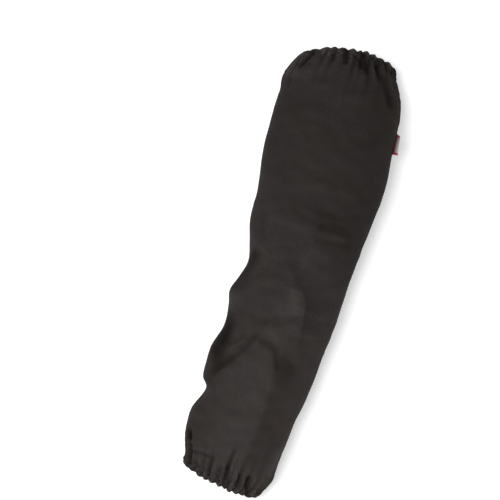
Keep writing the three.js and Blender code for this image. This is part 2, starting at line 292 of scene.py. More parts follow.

# Creases of the upper side. A path goes through places, each its share of the length along the
# sleeve and of half of the width across it. width and depth are in millimetres and a negative
# depth is a ridge, lip is the share of the depth that rises on the left of the way, and shade is
# the painted shade in it, a negative shade a painted highlight.
CREASES = [Crease(*row) for row in (
    (((0.5, -0.58), (0.486, -0.585), (0.464, -0.625), (0.445, -0.685), (0.432, -0.74)),
     6.0, 2.4, 0.0, 1.15),
    (((0.425, -0.58), (0.45, -0.5), (0.471, -0.364), (0.482, -0.12), (0.47, 0.19)),
     5.5, 1.3, -0.3, 0.13),
    (((0.572, -0.583), (0.56, -0.542)), 3.4, 0.7, 0.0, 0.2),
    (((0.621, -0.235), (0.605, 0.05), (0.603, 0.29)), 3.0, 1.0, -0.3, 0.14),
    (((0.603, 0.29), (0.606, 0.492), (0.604, 0.707)), 3.0, 1.5, 0.3, 0.13),
    (((0.599, 0.35), (0.603, 0.499), (0.603, 0.62)), 5.0, 1.2, 0.0, 0.06),
    (((0.612, 0.3), (0.62, 0.62)), 12.0, 1.0, 0.0, 0.24),
    (((0.631, -0.053), (0.633, 0.256), (0.63, 0.5)), 2.6, 0.7, 0.3, 0.12),
    (((0.591, -0.5), (0.585, -0.188), (0.582, 0.08)), 6.0, -1.2, 0.0, -0.14),
    (((0.586, 0.187), (0.59, 0.432), (0.591, 0.671)), 3.6, -1.1, 0.0, -0.14),
    (((0.571, 0.266), (0.575, 0.497), (0.578, 0.769)), 2.8, 1.4, -0.15, 0.26),
    (((0.563, 0.38), (0.57, 0.78)), 2.6, 0.6, 0.0, 0.1),
    (((0.545, 0.23), (0.53, 0.185), (0.509, 0.183)), 6.0, -1.0, 0.0, -0.13),
    (((0.521, 0.42), (0.521, 0.5)), 4.0, 0.8, 0.0, 0.18),
    (((0.44, 0.177), (0.413, 0.28)), 8.0, -1.1, 0.0, -0.26),
    (((0.373, -0.449), (0.372, -0.274), (0.371, -0.098)), 4.5, 1.1, -0.3, 0.1),
    (((0.371, -0.098), (0.385, 0.17), (0.4, 0.37)), 5.0, 1.3, -0.3, 0.08),
    (((0.336, -0.178), (0.314, -0.258), (0.266, -0.47), (0.235, -0.64)),
     3.4, 2.2, -0.35, 0.34),
    (((0.33, -0.26), (0.31, -0.344), (0.294, -0.437)), 2.0, 0.6, 0.3, 0.16),
    (((0.33, -0.355), (0.313, -0.429), (0.302, -0.517)), 2.0, 0.6, 0.3, 0.16),
    (((0.329, -0.07), (0.326, 0.063), (0.318, 0.177), (0.286, 0.277)), 4.0, 2.0, 0.15, 0.36),
    (((0.295, 0.337), (0.286, 0.45), (0.268, 0.493)), 9.0, 1.3, 0.0, 0.2),
    (((0.309, 0.276), (0.299, 0.473)), 2.4, 0.7, 0.3, 0.14),
    (((0.354, 0.033), (0.342, 0.123)), 4.0, -0.8, 0.0, -0.1),
    (((0.354, -0.69), (0.338, -0.67), (0.313, -0.67), (0.285, -0.7)), 7.5, 1.8, 0.0, 1.1),
    (((0.33, -0.64), (0.308, -0.65)), 6.0, 0.8, 0.0, 0.75),
    (((0.345, -0.64), (0.3, -0.66), (0.262, -0.64)), 9.0, 0.0, 0.0, 0.3),
    (((0.238, -0.74), (0.226, -0.63)), 5.0, 1.4, 0.0, 0.16),
    (((0.092, -0.715), (0.079, -0.68)), 2.8, 2.0, 0.0, 1.5),
    (((0.065, -0.636), (0.021, -0.537)), 2.4, 1.6, 0.3, 0.5),
    (((0.051, -0.575), (0.055, -0.417), (0.053, -0.299)), 2.4, 1.5, 0.4, 0.34),
    (((0.036, -0.377), (0.012, -0.385)), 2.2, 1.2, 0.3, 0.25),
    (((0.054, -0.237), (0.032, -0.257), (0.012, -0.234)), 2.6, 2.0, 0.3, 0.36),
    (((0.037, -0.087), (0.0, -0.051)), 2.2, 1.6, 0.3, 0.3),
    (((0.083, 0.038), (0.063, 0.019), (0.042, 0.014)), 2.4, 1.8, 0.4, 0.36),
    (((0.042, 0.014), (0.018, 0.049), (-0.004, 0.056)), 2.8, 2.6, 0.3, 0.42),
    (((0.037, 0.218), (0.004, 0.257)), 2.2, 1.8, 0.3, 0.34),
    (((0.033, 0.371), (0.009, 0.391), (-0.012, 0.414)), 2.8, 3.0, 0.3, 0.8),
    (((0.122, 0.724), (0.087, 0.671), (0.052, 0.637)), 3.5, -1.2, 0.0, -0.25),
    (((0.059, 0.523), (0.104, 0.552), (0.142, 0.563)), 5.0, 0.8, 0.0, 0.1),
    (((0.968, -0.62), (0.944, -0.683), (0.925, -0.748)), 2.2, 2.8, 0.4, 1.1),
    (((0.961, -0.734), (0.941, -0.816), (0.912, -0.89)), 7.0, -0.8, 0.0, -0.6),
    (((0.968, -0.529), (0.956, -0.487)), 2.4, 1.2, 0.0, 0.28),
    (((0.976, -0.318), (0.958, -0.303)), 2.6, 1.8, 0.0, 0.5),
    (((0.992, -0.159), (0.976, -0.117), (0.96, -0.101)), 3.0, 2.6, 0.3, 1.0),
    (((0.991, 0.108), (0.975, 0.173), (0.953, 0.229)), 3.6, 3.2, 0.0, 1.1),
    (((0.975, 0.076), (0.959, 0.139)), 3.0, 1.6, 0.0, 0.8),
    (((0.99, 0.288), (0.966, 0.371)), 2.4, 2.0, 0.3, 0.5),
    (((0.985, 0.37), (0.962, 0.428), (0.941, 0.548), (0.916, 0.676), (0.9, 0.74)),
     4.6, 3.0, 0.3, 0.62),
    (((0.989, 0.455), (0.97, 0.6)), 2.6, 2.2, 0.3, 0.5),
    (((0.984, 0.604), (0.965, 0.72)), 2.4, 1.6, 0.0, 0.4),
    (((0.902, -0.712), (0.922, -0.44), (0.938, -0.188)), 6.0, -0.9, 0.0, -0.14),
)]

# Edges where the cloth drops to the left of the way and comes back over its reach, with painted
# shade over the fall
DROPS = [Drop(*row) for row in (
    (((0.47, 0.206), (0.453, 0.337), (0.43, 0.42), (0.4, 0.442)), 6.0, 1.7, 20.0, 0.26),
    (((0.273, 0.29), (0.209, 0.287), (0.168, 0.282), (0.097, 0.246)), 11.0, 1.5, 30.0, 0.26),
)]

DROP_FADE = 30.0 * MM

# Soft patches of painted shade, such as on the left flank and in its pockets, and of painted
# light where the shade is negative, such as on the puffs: place along and across, how far they
# reach both ways as shares of the same two, and shade
SHADE_PATCHES = [ShadePatch(*row) for row in (
    (0.1, -0.8, 0.2, 0.36, 0.34),
    (0.8, -1.05, 0.35, 0.35, 0.2),
    (0.8, 0.0, 0.25, 1.2, 0.14),
    (0.41, 0.1, 0.05, 0.25, -0.13),
    (0.53, 0.25, 0.07, 0.28, -0.15),
    (0.69, 0.85, 0.1, 0.4, 0.14),
    (0.34, -0.55, 0.04, 0.2, 0.12),
    (0.262, -0.64, 0.022, 0.15, 0.45),
    (0.212, -0.72, 0.015, 0.12, 0.2),
    (0.88, -0.4, 0.03, 0.5, -0.15),
    (0.98, -0.5, 0.012, 0.16, -0.5),
    (1.0, 0.2, 0.045, 1.0, -0.35),
)]

End = namedtuple(
    "End", "fold inward width height taper lean bow shift back reach calm streak light"
)
Section = namedtuple("Section", "left right height")


def smooth(share):
    """Goes from 0 to 1 with no slope at either end: 3 t squared less 2 t cubed."""
    t = np.clip(share, 0.0, 1.0)
    return t * t * (3.0 - 2.0 * t)


def bell(share, power=2):
    """1 in the middle and gone within a few shares: e to the minus of the share to a power."""
    return np.exp(-(np.abs(share) ** power))


def apart(angle, other):
    """How far an angle is from another, between minus and plus half a turn."""
    return (angle - other + math.pi) % TURN - math.pi


def wave_sum(waves, angle):
    """Sum of size times the sine of count times the angle plus start."""
    return sum(size * np.sin(count * angle + start) for count, size, start in waves)


def by_chance(span, chance):
    """The least of a span, and its second part times a chance from 0 to 1."""
    return span[0] + span[1] * chance


def ripples(angle, y, ripple):
    """Soft noise that closes round the sleeve: its size times a mean of sines whose counts round
    it are whole numbers up to around, and whose wavelengths along it are near wavelength."""
    draw = np.random.default_rng(ripple.seed)
    total = np.zeros(np.broadcast(angle, y).shape)
    for _ in range(ripple.count):
        turns = draw.integers(-ripple.around, ripple.around + 1)
        rate = TURN / (ripple.wavelength * draw.uniform(*WAVELENGTHS)) * draw.choice((-1, 1))
        total += np.sin(turns * angle + rate * y + draw.uniform(0, TURN))
    return ripple.size * (total / math.sqrt(ripple.count))


def wrinkles(angle, y, ripple):
    """Thin crooked ridges: the size times a power of one less the size of soft noise, where a
    second and slower noise is above its mean."""
    noise = ripples(angle, y, ripple._replace(size=1.0))
    ridge = np.clip(1 - np.abs(noise), 0, 1) ** WRINKLE_POWER
    slower = ripples(angle, y, WRINKLE_PATCHES._replace(seed=ripple.seed + 1))
    return ripple.size * (ridge * smooth(0.5 + slower))


def along_path(x, y, path):
    """Distance from a path of straight stretches, the same with a sign that is positive on the
    left of the way, and the distance past the path's ends."""
    nearest = np.full(np.broadcast(x, y).shape, np.inf)
    aside = np.zeros(nearest.shape)
    for (ax, ay), (bx, by) in zip(path, path[1:]):
        dx, dy = bx - ax, by - ay
        share = np.clip(((x - ax) * dx + (y - ay) * dy) / (dx * dx + dy * dy), 0, 1)
        off_x, off_y = x - ax - share * dx, y - ay - share * dy
        distance = np.hypot(off_x, off_y)
        normal = (dx * off_y - dy * off_x) / math.hypot(dx, dy)
        closer = distance < nearest
        aside = np.where(closer, normal, aside)
        nearest = np.where(closer, distance, nearest)
    past = np.sqrt(np.maximum(nearest ** 2 - aside ** 2, 0))
    return nearest, aside, past


class Form:
    """The sleeve's formulas for one set of sizes. A point is given by its angle round the section
    from the right-hand side over the top, and its station along the sleeve."""

    def __init__(self, sizes):
        self.length = sizes.length
        self.half = sizes.width / 2
        self.height = sizes.height
        self.wall = sizes.cloth_wall
        self.ruffles = sizes.ruffle_count
        self.ruffle_height = sizes.ruffle_height
        self.scallop = sizes.scallop_depth
        self.crease_share = sizes.crease_share
        self.channel = self.wall + CLEARANCE
        self.hem_thickness = 2 * self.channel + ELASTIC_THICKNESS
        self.fold_reach = FOLD_ROUND * self.hem_thickness
        self.elastic_end = HEM_MARGIN + ELASTIC_WIDTH
        self.hem_width = self.elastic_end + self.fold_reach
        # Each end paints highlight on its ruffle tops and shade down its gathers' hollows, by the
        # last two of its values
        self.wrist = End(
            fold=-5 * MM, inward=1, width=90 * MM, height=37 * MM, taper=4 * MM, lean=-0.13,
            bow=3.5 * MM, shift=-3.4 * MM, back=3.1 * MM, reach=18 * MM, calm=0.3,
            streak=0.3, light=0.06,
        )
        self.upper = End(
            fold=self.length, inward=-1, width=108 * MM, height=47 * MM, taper=6.8 * MM, lean=0.09,
            bow=11 * MM, shift=-5 * MM, back=-1.2 * MM, reach=24 * MM, calm=0.7,
            streak=0.2, light=0.25,
        )
        self.chances = np.random.default_rng(CHANCE_SEED).random((len(CHANCES), self.ruffles))
        self.ends = (self.wrist, self.upper)
        rows = [(along * self.length, left * self.half, right * self.half, high * self.height)
                for along, left, right, high in SECTIONS]
        first, last = [(self.stitch_line(end), *self.hem_section(end, 0.0)) for end in self.ends]
        self.knots = np.array([first, *rows, last])

    def stitch_line(self, end):
        """Station where a hem meets the tube."""
        return end.fold + end.inward * self.hem_width

    def hem_section(self, end, outward):
        """The mouth's half widths and height, growing by the taper towards the stitch line."""
        inward = 1 - outward / self.hem_width
        spread = end.taper * inward
        half = end.width / 2 + spread
        shift = end.shift + end.back * inward
        return Section(half - shift, half + shift, end.height + spread)

    def section(self, y):
        """The section at a station, on a cubic through the knots whose slope at each knot is that
        of the line between its two neighbours."""
        knots = self.knots
        place = np.clip(np.searchsorted(knots[:, 0], y, side="right") - 1, 0, len(knots) - 2)
        before = np.maximum(np.arange(len(knots)) - 1, 0)
        after = np.minimum(np.arange(len(knots)) + 1, len(knots) - 1)
        slopes = (knots[after] - knots[before]) / (knots[after, :1] - knots[before, :1])
        a, b = knots[place], knots[place + 1]
        span = (b[..., 0] - a[..., 0])[..., None]
        t = np.clip((np.asarray(y) - a[..., 0])[..., None] / span, 0, 1)
        curve = (
            a * (1 + 2 * t) * (1 - t) ** 2
            + b * t * t * (3 - 2 * t)
            + slopes[place] * span * t * (1 - t) ** 2
            - slopes[place + 1] * span * t * t * (1 - t)
        )
        return Section(curve[..., 1], curve[..., 2], curve[..., 3])

    def phase(self, angle):
        """Half turns of the ruffles up to an angle, with waves that crowd them here and spread
        them there."""
        return self.ruffles * angle / 2 + wave_sum(CROWDING_WAVES, angle)

    def chance(self, row, place):
        """A number from 0 to 1 for each ruffle or hollow, the same each run."""
        return self.chances[row, np.asarray(place, int) % self.ruffles]

    def puff(self, angle):
        """0 in the hollows between ruffles and up to 1 on top of them: the size of the sine of the
        phase, to a power that makes some tops round and others broad, times each one's height."""
        phase = self.phase(angle)
        place = np.floor(phase / math.pi + 1e-9)
        shape = by_chance(PUFF_POWER, self.chance(ROUND, place))
        return np.abs(np.sin(phase)) ** shape * by_chance(PUFF_HEIGHT, self.chance(TALL, place))

    def ruffle(self, angle, end):
        """Lift of the ruffles at the stitch line. They lie flatter where the end is calm."""
        calm = 1 - end.calm * bell((angle - CALM_ANGLE) / CALM_REACH)
        return self.ruffle_height * calm * (1 + wave_sum(HEIGHT_WAVES, angle)) * self.puff(angle)

    def section_point(self, section, angle, depth, lift):
        """A rounded-square section, flattened on the surface that it lies on."""
        around = angle + wave_sum(SPACING_WAVES, angle)
        cos, sin = np.cos(around), np.sin(around)
        square = np.where(sin > 0, TOP_SQUARENESS, UNDERSIDE_SQUARENESS)
        middle = section.height * WIDEST_LINE
        rise = np.where(sin > 0, section.height - middle, middle * UNDERSIDE_SAG)
        half = np.where(cos > 0, section.right, section.left)
        x = np.sign(cos) * (half - depth + lift) * np.abs(cos) ** (2 / square)
        z = middle + np.sign(sin) * (rise - depth + lift) * np.abs(sin) ** (2 / square)
        return x, np.maximum(z, depth)

    def slant(self, x, y):
        """How far the leaning and bowed mouths move a point along the sleeve."""
        shift = 0.0
        for end in self.ends:
            fade = 1 - smooth(np.abs(y - end.fold) / SLANT_REACH)
            side = x / (end.width / 2)
            shift = shift + fade * (end.lean * x + end.inward * end.bow * side * side)
        return shift

    def from_hem(self, y):
        """Distance from the nearer stitch line."""
        return np.minimum(
            np.abs(y - self.stitch_line(self.wrist)), np.abs(y - self.stitch_line(self.upper))
        )

    def by_path(self, here, path):
        """along_path for a path whose places are shares of the length and of half of the width."""
        places = [(across * self.half, along * self.length) for along, across in path]
        return along_path(*here, places)

    def creases(self, x, y, rise):
        """Lift and shade of the creases, steps and soft patches. A crease is a valley of its depth
        times the bell of distance over width, with a lip of the same form beside it. A step falls
        by its depth over its width and comes back with the bell of distance over reach. A patch
        is its shade times the bells of distance over reach both ways. Down the flanks the lift
        fades out, and the shade goes from its weakest part on, so that a dark hollow ends in a
        round."""
        here = x, y + self.slant(x, y)
        lift = np.zeros(np.broadcast(x, y).shape)
        shade = np.zeros(lift.shape)
        for crease in CREASES:
            width = crease.width * MM
            nearest, aside, past = self.by_path(here, crease.path)
            valley = bell(nearest / width)
            lip_side = aside * np.sign(crease.lip or 1)
            lip = abs(crease.lip) * bell(lip_side / width - LIP_PLACE) * bell(past / width)
            lift += crease.depth * MM * (lip - valley)
            shade += crease.shade * (valley - LIP_SHADE * lip)
        for step in DROPS:
            width, reach = step.width * MM, step.reach * MM
            _, aside, past = self.by_path(here, step.path)
            fall = smooth(0.5 + aside / width) * bell(np.maximum(aside, 0) / reach)
            fall = fall * bell(past / DROP_FADE)
            lift -= step.depth * MM * fall
            shade += step.shade * fall
        fade = smooth((rise - CREASE_FOOT) / (CREASE_TOP - CREASE_FOOT))
        taken = DARKEST * smooth((SHADE_TOP - rise) / (SHADE_TOP - SHADE_FOOT))
        shade = np.sign(shade) * np.maximum(np.abs(shade) - taken, 0)
        shown = smooth((rise - TONE_FOOT) / (TONE_TOP - TONE_FOOT))
        along, across = here[1] / self.length, here[0] / self.half
        for tone in SHADE_PATCHES:
            far = (along - tone.along) / tone.long, (across - tone.across) / tone.wide
            shade += tone.shade * bell(far[0]) * bell(far[1]) * shown
        return self.crease_share * lift * fade, shade

    def gathers(self, angle, y):
        """The ruffles run on into the cloth and die away at a length that changes round the
        sleeve, with some hollows drawn deeper and longer than others. Also their shade."""
        place = self.phase(angle) / math.pi
        hollow = np.round(place)
        wild = self.chance(WILD, hollow)
        aside = (place - hollow) * TURN * MEAN_RADIUS / self.ruffles
        lift, shade = 0.0, 0.0
        for end in self.ends:
            far = np.abs(y - self.stitch_line(end))
            fade = bell(far / end.reach, GATHER_FADE)
            long = end.reach * by_chance(HOLLOW_REACH, wild)
            drawn = by_chance(HOLLOW_DEPTH, wild * wild)
            valley = bell(aside / HOLLOW_WIDTH) * bell(far / long, HOLLOW_FADE)
            lift = lift + self.ruffle(angle, end) * fade - drawn * valley * smooth(far / HEM_CALM)
            # Painted highlight on the ruffle tops and painted shade down the hollows
            shade = shade - end.light * self.puff(angle) * fade
            shade = shade + end.streak * by_chance(STREAK_SHADE, wild) * valley
        return lift, shade

    def cloth_lift(self, angle, x, y, rise):
        """Everything that moves the cloth out of its plain form, and its shade: gathers, creases,
        long soft waves over all of it, thin wrinkles round the elbow and the forearm, and fine
        crinkles near the hems."""
        far = self.from_hem(y)
        gather, gather_shade = self.gathers(angle, y)
        crease, crease_shade = self.creases(x, y, rise)
        soft, small = ripples(angle, y, SOFT_WAVES), ripples(angle, y, SMALL_WAVES)
        along = y / self.length
        elbow = ELBOW_WRINKLED * bell((along - ELBOW_PLACE) / ELBOW_REACH)
        forearm = FOREARM_WRINKLED * smooth((FOREARM_PLACE - along) / FOREARM_REACH)
        thin = sum(wrinkles(angle, y, ripple) for ripple in WRINKLES)
        thin = (WRINKLED + elbow + forearm) * thin
        fine = bell(far / CRINKLE_REACH, CRINKLE_FADE) * ripples(angle, y, FINE_CRINKLES)
        up = smooth((rise - WAVE_FOOT) / WAVE_RISE)
        calm = smooth(far / HEM_CALM)
        flank = 0.0
        for place, turn, long, wide, size in FLANKS:
            flank = flank + size * bell((along - place) / long) * bell(apart(angle, turn) / wide)
        lift = flank + gather + crease + (soft + small + thin) * up * calm + fine * calm
        # Painted light where wrinkles, small waves and fine crinkles rise, and painted shade where
        # they sink
        lighter = (WRINKLE_SHADE * thin + SMALL_SHADE * small + FINE_SHADE * fine) / MM
        return lift, gather_shade + crease_shade - lighter

    def seam_share(self, angle, section):
        """1 on the seam and 0 beside it, over the seam's own width."""
        reach = (section.right + section.height / 2) / 2
        return bell(apart(angle, SEAM_ANGLE) * reach / (SEAM_WIDTH / 2))

    def body_point(self, angle, y, depth):
        """A point of the cloth tube and its shade: its place on the section, lifted as the cloth
        lifts it, with a groove along the seam and a ridge behind it."""
        section = self.section(y)
        plain_x, plain_z = self.section_point(section, angle, 0.0, 0.0)
        lift, shade = self.cloth_lift(angle, plain_x, y, plain_z / section.height)
        beyond = smooth((self.from_hem(y) - HEM_TURN) / (HEM_CALM / 2))
        seam = self.seam_share(angle, section) * beyond
        x, z = self.section_point(
            section, angle, depth + (depth > 0) * seam * SEAM_RIDGE, lift - seam * SEAM_GROOVE
        )
        return self.place(x, y, z), shade

    def hem_point(self, end, angle, outward, depth, ruffle):
        """A point of a turned hem and its shade: its profile's place on the mouth's section,
        lifted by its share of the ruffles, creased as the cloth beside it but never down onto the
        elastic, with the fold drawn in between the ruffles."""
        folded = np.maximum(0.0, outward) / self.hem_width
        y = end.fold + end.inward * (self.hem_width - outward)
        lap = self.section(y)
        own = self.hem_section(end, outward)
        on_hem = outward >= 0
        section = Section(*(np.where(on_hem, a, b) for a, b in zip(own, lap)))
        plain_x, plain_z = self.section_point(section, angle, 0.0, 0.0)
        crease, crease_shade = self.creases(plain_x, y, plain_z / section.height)
        crinkle = ripples(angle, y, FOLD_CRINKLES) * smooth(outward / (HEM_CALM / 2))
        lift = ruffle * (self.ruffle(angle, end) + crinkle)
        room = np.maximum(lift, 0) + ELASTIC_ROOM
        room = room + (1 - smooth(outward / HEM_MARGIN)) * OPEN_ROOM
        lift = lift + np.where(ruffle > 0, np.maximum(crease, -room), 0)
        x, z = self.section_point(section, angle, depth, lift)
        puff = self.puff(angle)
        wave = 1 + wave_sum(HEIGHT_WAVES, angle + SCALLOP_START)
        scallop = end.inward * folded * self.scallop * (1 - puff) * wave
        # Painted shade in the ruffles' hollows, and painted highlight on their tops and on the
        # crinkles
        hollow = HOLLOW_SHADE * (1 - puff) ** 2 * (1 - end.calm * CALM_SHADE)
        shade = crease_shade + hollow - end.light * puff - CRINKLE_SHADE * crinkle / MM
        return self.place(x, y + scallop, z), shade * np.ones_like(x)

    def place(self, x, y, z):
        """From the sleeve's own places to the frame's."""
        return np.stack(np.broadcast_arrays(AXIS_X + x, STATION_Y + y + self.slant(x, y), z), -1)


def hem_profile(form):
    """The hem's section as a closed loop of outward, depth and ruffle share: out along the outer
    face, round the fold on half an ellipse, back along the inner face to the turned edge, and
    back again through the channel that holds the elastic."""
    thick, wall, end = form.hem_thickness, form.wall, form.elastic_end

    def run(start, stop, count):
        share = np.linspace(0, 1, count, endpoint=False)[:, None]
        return np.array(start) * (1 - share) + np.array(stop) * share

    def fold(reach, inset, first, last, count):
        turn = np.linspace(0, math.pi, count, endpoint=False)
        share = turn / math.pi
        out = reach[0] + reach[1] * np.sin(turn)
        deep = thick / 2 - (thick / 2 - inset) * np.cos(turn)
        return np.stack([out, deep, first + (last - first) * share ** 2], -1)

    lip = run((0, 0, 1), (EDGE_ROW, 0, 1), 1)
    outer = run((EDGE_ROW, 0, 1), (end, 0, FOLD_RUFFLE), 12)
    over = fold((end, form.fold_reach), 0.0, FOLD_RUFFLE, INNER_RUFFLE, 12)
    lap = form.channel + wall
    inner = run((end, thick, INNER_RUFFLE), (HEM_MARGIN, thick, INNER_RUFFLE), 5)
    back = run((HEM_MARGIN, thick, INNER_RUFFLE), (0, lap, STITCHED_RUFFLE), 2)
    turned = run((0, lap, STITCHED_RUFFLE), (-HEM_TURN, lap, TURNED_RUFFLE), 3)
    edge = run((-HEM_TURN, lap, TURNED_RUFFLE), (-HEM_TURN, form.channel, TURNED_RUFFLE), 1)
    under = run((-HEM_TURN, form.channel, TURNED_RUFFLE), (0, form.channel, STITCHED_RUFFLE), 3)
    foot = (HEM_MARGIN - CLEARANCE, thick - wall, INNER_RUFFLE)
    step = run((0, form.channel, STITCHED_RUFFLE), foot, 2)
    floor = run(foot, (end + CLEARANCE, thick - wall, INNER_RUFFLE), 5)
    reach = form.fold_reach - wall - CLEARANCE
    inside = fold((end + CLEARANCE, reach), wall, ROOF_RUFFLE, INNER_RUFFLE, 8)[:0:-1]
    roof = run((end + CLEARANCE, wall, ROOF_RUFFLE), (0, wall, 1), 5)
    rows = [lip, outer, over, inner, back, turned, edge, under, step, floor, inside, roof]
    return np.concatenate(rows)


# Meshes


def mesh_piece(name, points, faces, material, uv=None, marks=None):
    """Puts a mesh with smooth faces, its own UV map in metres and any named point values into the
    scene as a piece at the origin."""
    mesh = bpy.data.meshes.new(name)
    mesh.vertices.add(len(points))
    mesh.vertices.foreach_set("co", np.asarray(points, np.float32).ravel())
    width = faces.shape[1]
    mesh.loops.add(faces.size)
    mesh.loops.foreach_set("vertex_index", faces.ravel().astype(np.int32))
    mesh.polygons.add(len(faces))
    mesh.polygons.foreach_set("loop_start", np.arange(0, faces.size, width, dtype=np.int32))
    mesh.polygons.foreach_set("use_smooth", np.ones(len(faces), bool))
    mesh.update(calc_edges=True)
    if uv is not None:
        layer = mesh.uv_layers.new(name="cloth")
        layer.data.foreach_set("uv", np.asarray(uv, np.float32).ravel())
    for label, values in (marks or {}).items():
        attribute = mesh.attributes.new(label, "FLOAT", "POINT")
        attribute.data.foreach_set("value", np.asarray(values, np.float32).ravel())
    mesh.validate()
    mesh.materials.append(material)
    piece = bpy.data.objects.new(name, mesh)
    bpy.context.scene.collection.objects.link(piece)
    return piece


def grid_faces(rows, columns, close_rows, close_columns):
    """Quads of a grid of points, and the places of their corners on the grid before it closes."""
    row = np.arange(rows if close_rows else rows - 1)[:, None]
    column = np.arange(columns if close_columns else columns - 1)[None, :]
    corners = [(row, column), (row + 1, column), (row + 1, column + 1), (row, column + 1)]
    corners = [np.broadcast_arrays(a, b) for a, b in corners]
    faces = np.stack([(a % rows) * columns + b % columns for a, b in corners], -1)
    places = np.stack([np.stack([a, b], -1) for a, b in corners], -2)
    return faces.reshape(-1, 4), places.reshape(-1, 2)


def ring_piece(name, points, v, material, shade):
    """A closed ring of cloth from a grid of points, and its shade. Its UV map runs round the
    sleeve in metres of girth, and along the profile by v, which has one entry more than there are
    rows."""
    rows, columns = points.shape[:2]
    faces, places = grid_faces(rows, columns, True, True)
    uv = np.stack([places[:, 1] / columns * GIRTH, np.asarray(v)[places[:, 0]]], -1)
    return mesh_piece(name, points.reshape(-1, 3), faces, material, uv, {"shade": shade.ravel()})


def thread_piece(name, starts, stops, up, radius, material):
    """A row of stitches. Each is a spindle from its start to its stop: six points round on five
    rings, thickest in the middle, bulging from the cloth along up."""
    share = np.array([0.0, 0.15, 0.5, 0.85, 1.0])
    swell = np.array([0.25, 0.85, 1.0, 0.85, 0.25])
    turn = np.arange(6) / 6 * TURN
    way = stops - starts
    way_unit = way / np.linalg.norm(way, axis=1, keepdims=True)
    side = np.cross(way_unit, up)
    side /= np.linalg.norm(side, axis=1, keepdims=True)
    high = np.cross(side, way_unit)
    arch = (1 - (2 * share - 1) ** 2) * radius * STITCH_ARCH - STITCH_SINK * radius
    centre = starts[:, None] + way[:, None] * share[:, None] + high[:, None] * arch[:, None]
    cos, sin = np.cos(turn)[:, None], np.sin(turn)[:, None]
    rim = side[:, None, None] * cos + high[:, None, None] * sin
    points = centre[:, :, None] + rim * (radius * swell)[:, None, None]
    rings, sides = len(share), len(turn)
    tube, _ = grid_faces(rings, sides, False, True)
    first = np.arange(sides)
    ends = np.array([[0, 1, 2, 3], [0, 3, 4, 5]])
    one = np.concatenate([tube, first[ends], (rings - 1) * sides + first[ends][:, ::-1]])
    shift = np.arange(len(starts))[:, None, None] * rings * sides
    faces = (one[None] + shift).reshape(-1, 4)
    return mesh_piece(name, points.reshape(-1, 3), faces, material)


# Shader maths


def operator(operation, swapped=False):
    """An operator of a socket, or its form with the two values swapped, that adds a Math node."""

    def method(self, other):
        values = (other, self) if swapped else (self, other)
        return self.maths(operation, *values)

    return method


class Socket:
    """A number in a material. Arithmetic on it adds Math nodes."""

    def __init__(self, sheet, out):
        self.sheet, self.out = sheet, out

    def maths(self, operation, *values):
        """Adds a Math node with the values on its sockets."""
        settings = {"operation": operation}
        node = self.sheet.node("ShaderNodeMath", settings, dict(enumerate(values)))
        return Socket(self.sheet, node.outputs[0])

    __add__, __radd__ = operator("ADD"), operator("ADD", True)
    __sub__, __rsub__ = operator("SUBTRACT"), operator("SUBTRACT", True)
    __mul__, __rmul__ = operator("MULTIPLY"), operator("MULTIPLY", True)
    __truediv__, __rtruediv__ = operator("DIVIDE"), operator("DIVIDE", True)
    __pow__, __rpow__ = operator("POWER"), operator("POWER", True)

    def size(self):
        """The number without its sign."""
        return self.maths("ABSOLUTE", self)

    def wave(self, pitch):
        """From 0 to 1 and back over each pitch."""
        return self.maths("SINE", self * (TURN / pitch)) * 0.5 + 0.5

    def above(self, edge, width):
        """0 below the edge and 1 above it, smoothly over the width."""
        settings = {"interpolation_type": "SMOOTHSTEP"}
        inputs = {"Value": self, "From Min": edge - width / 2, "From Max": edge + width / 2}
        node = self.sheet.node("ShaderNodeMapRange", settings, inputs)
        return Socket(self.sheet, node.outputs[0])


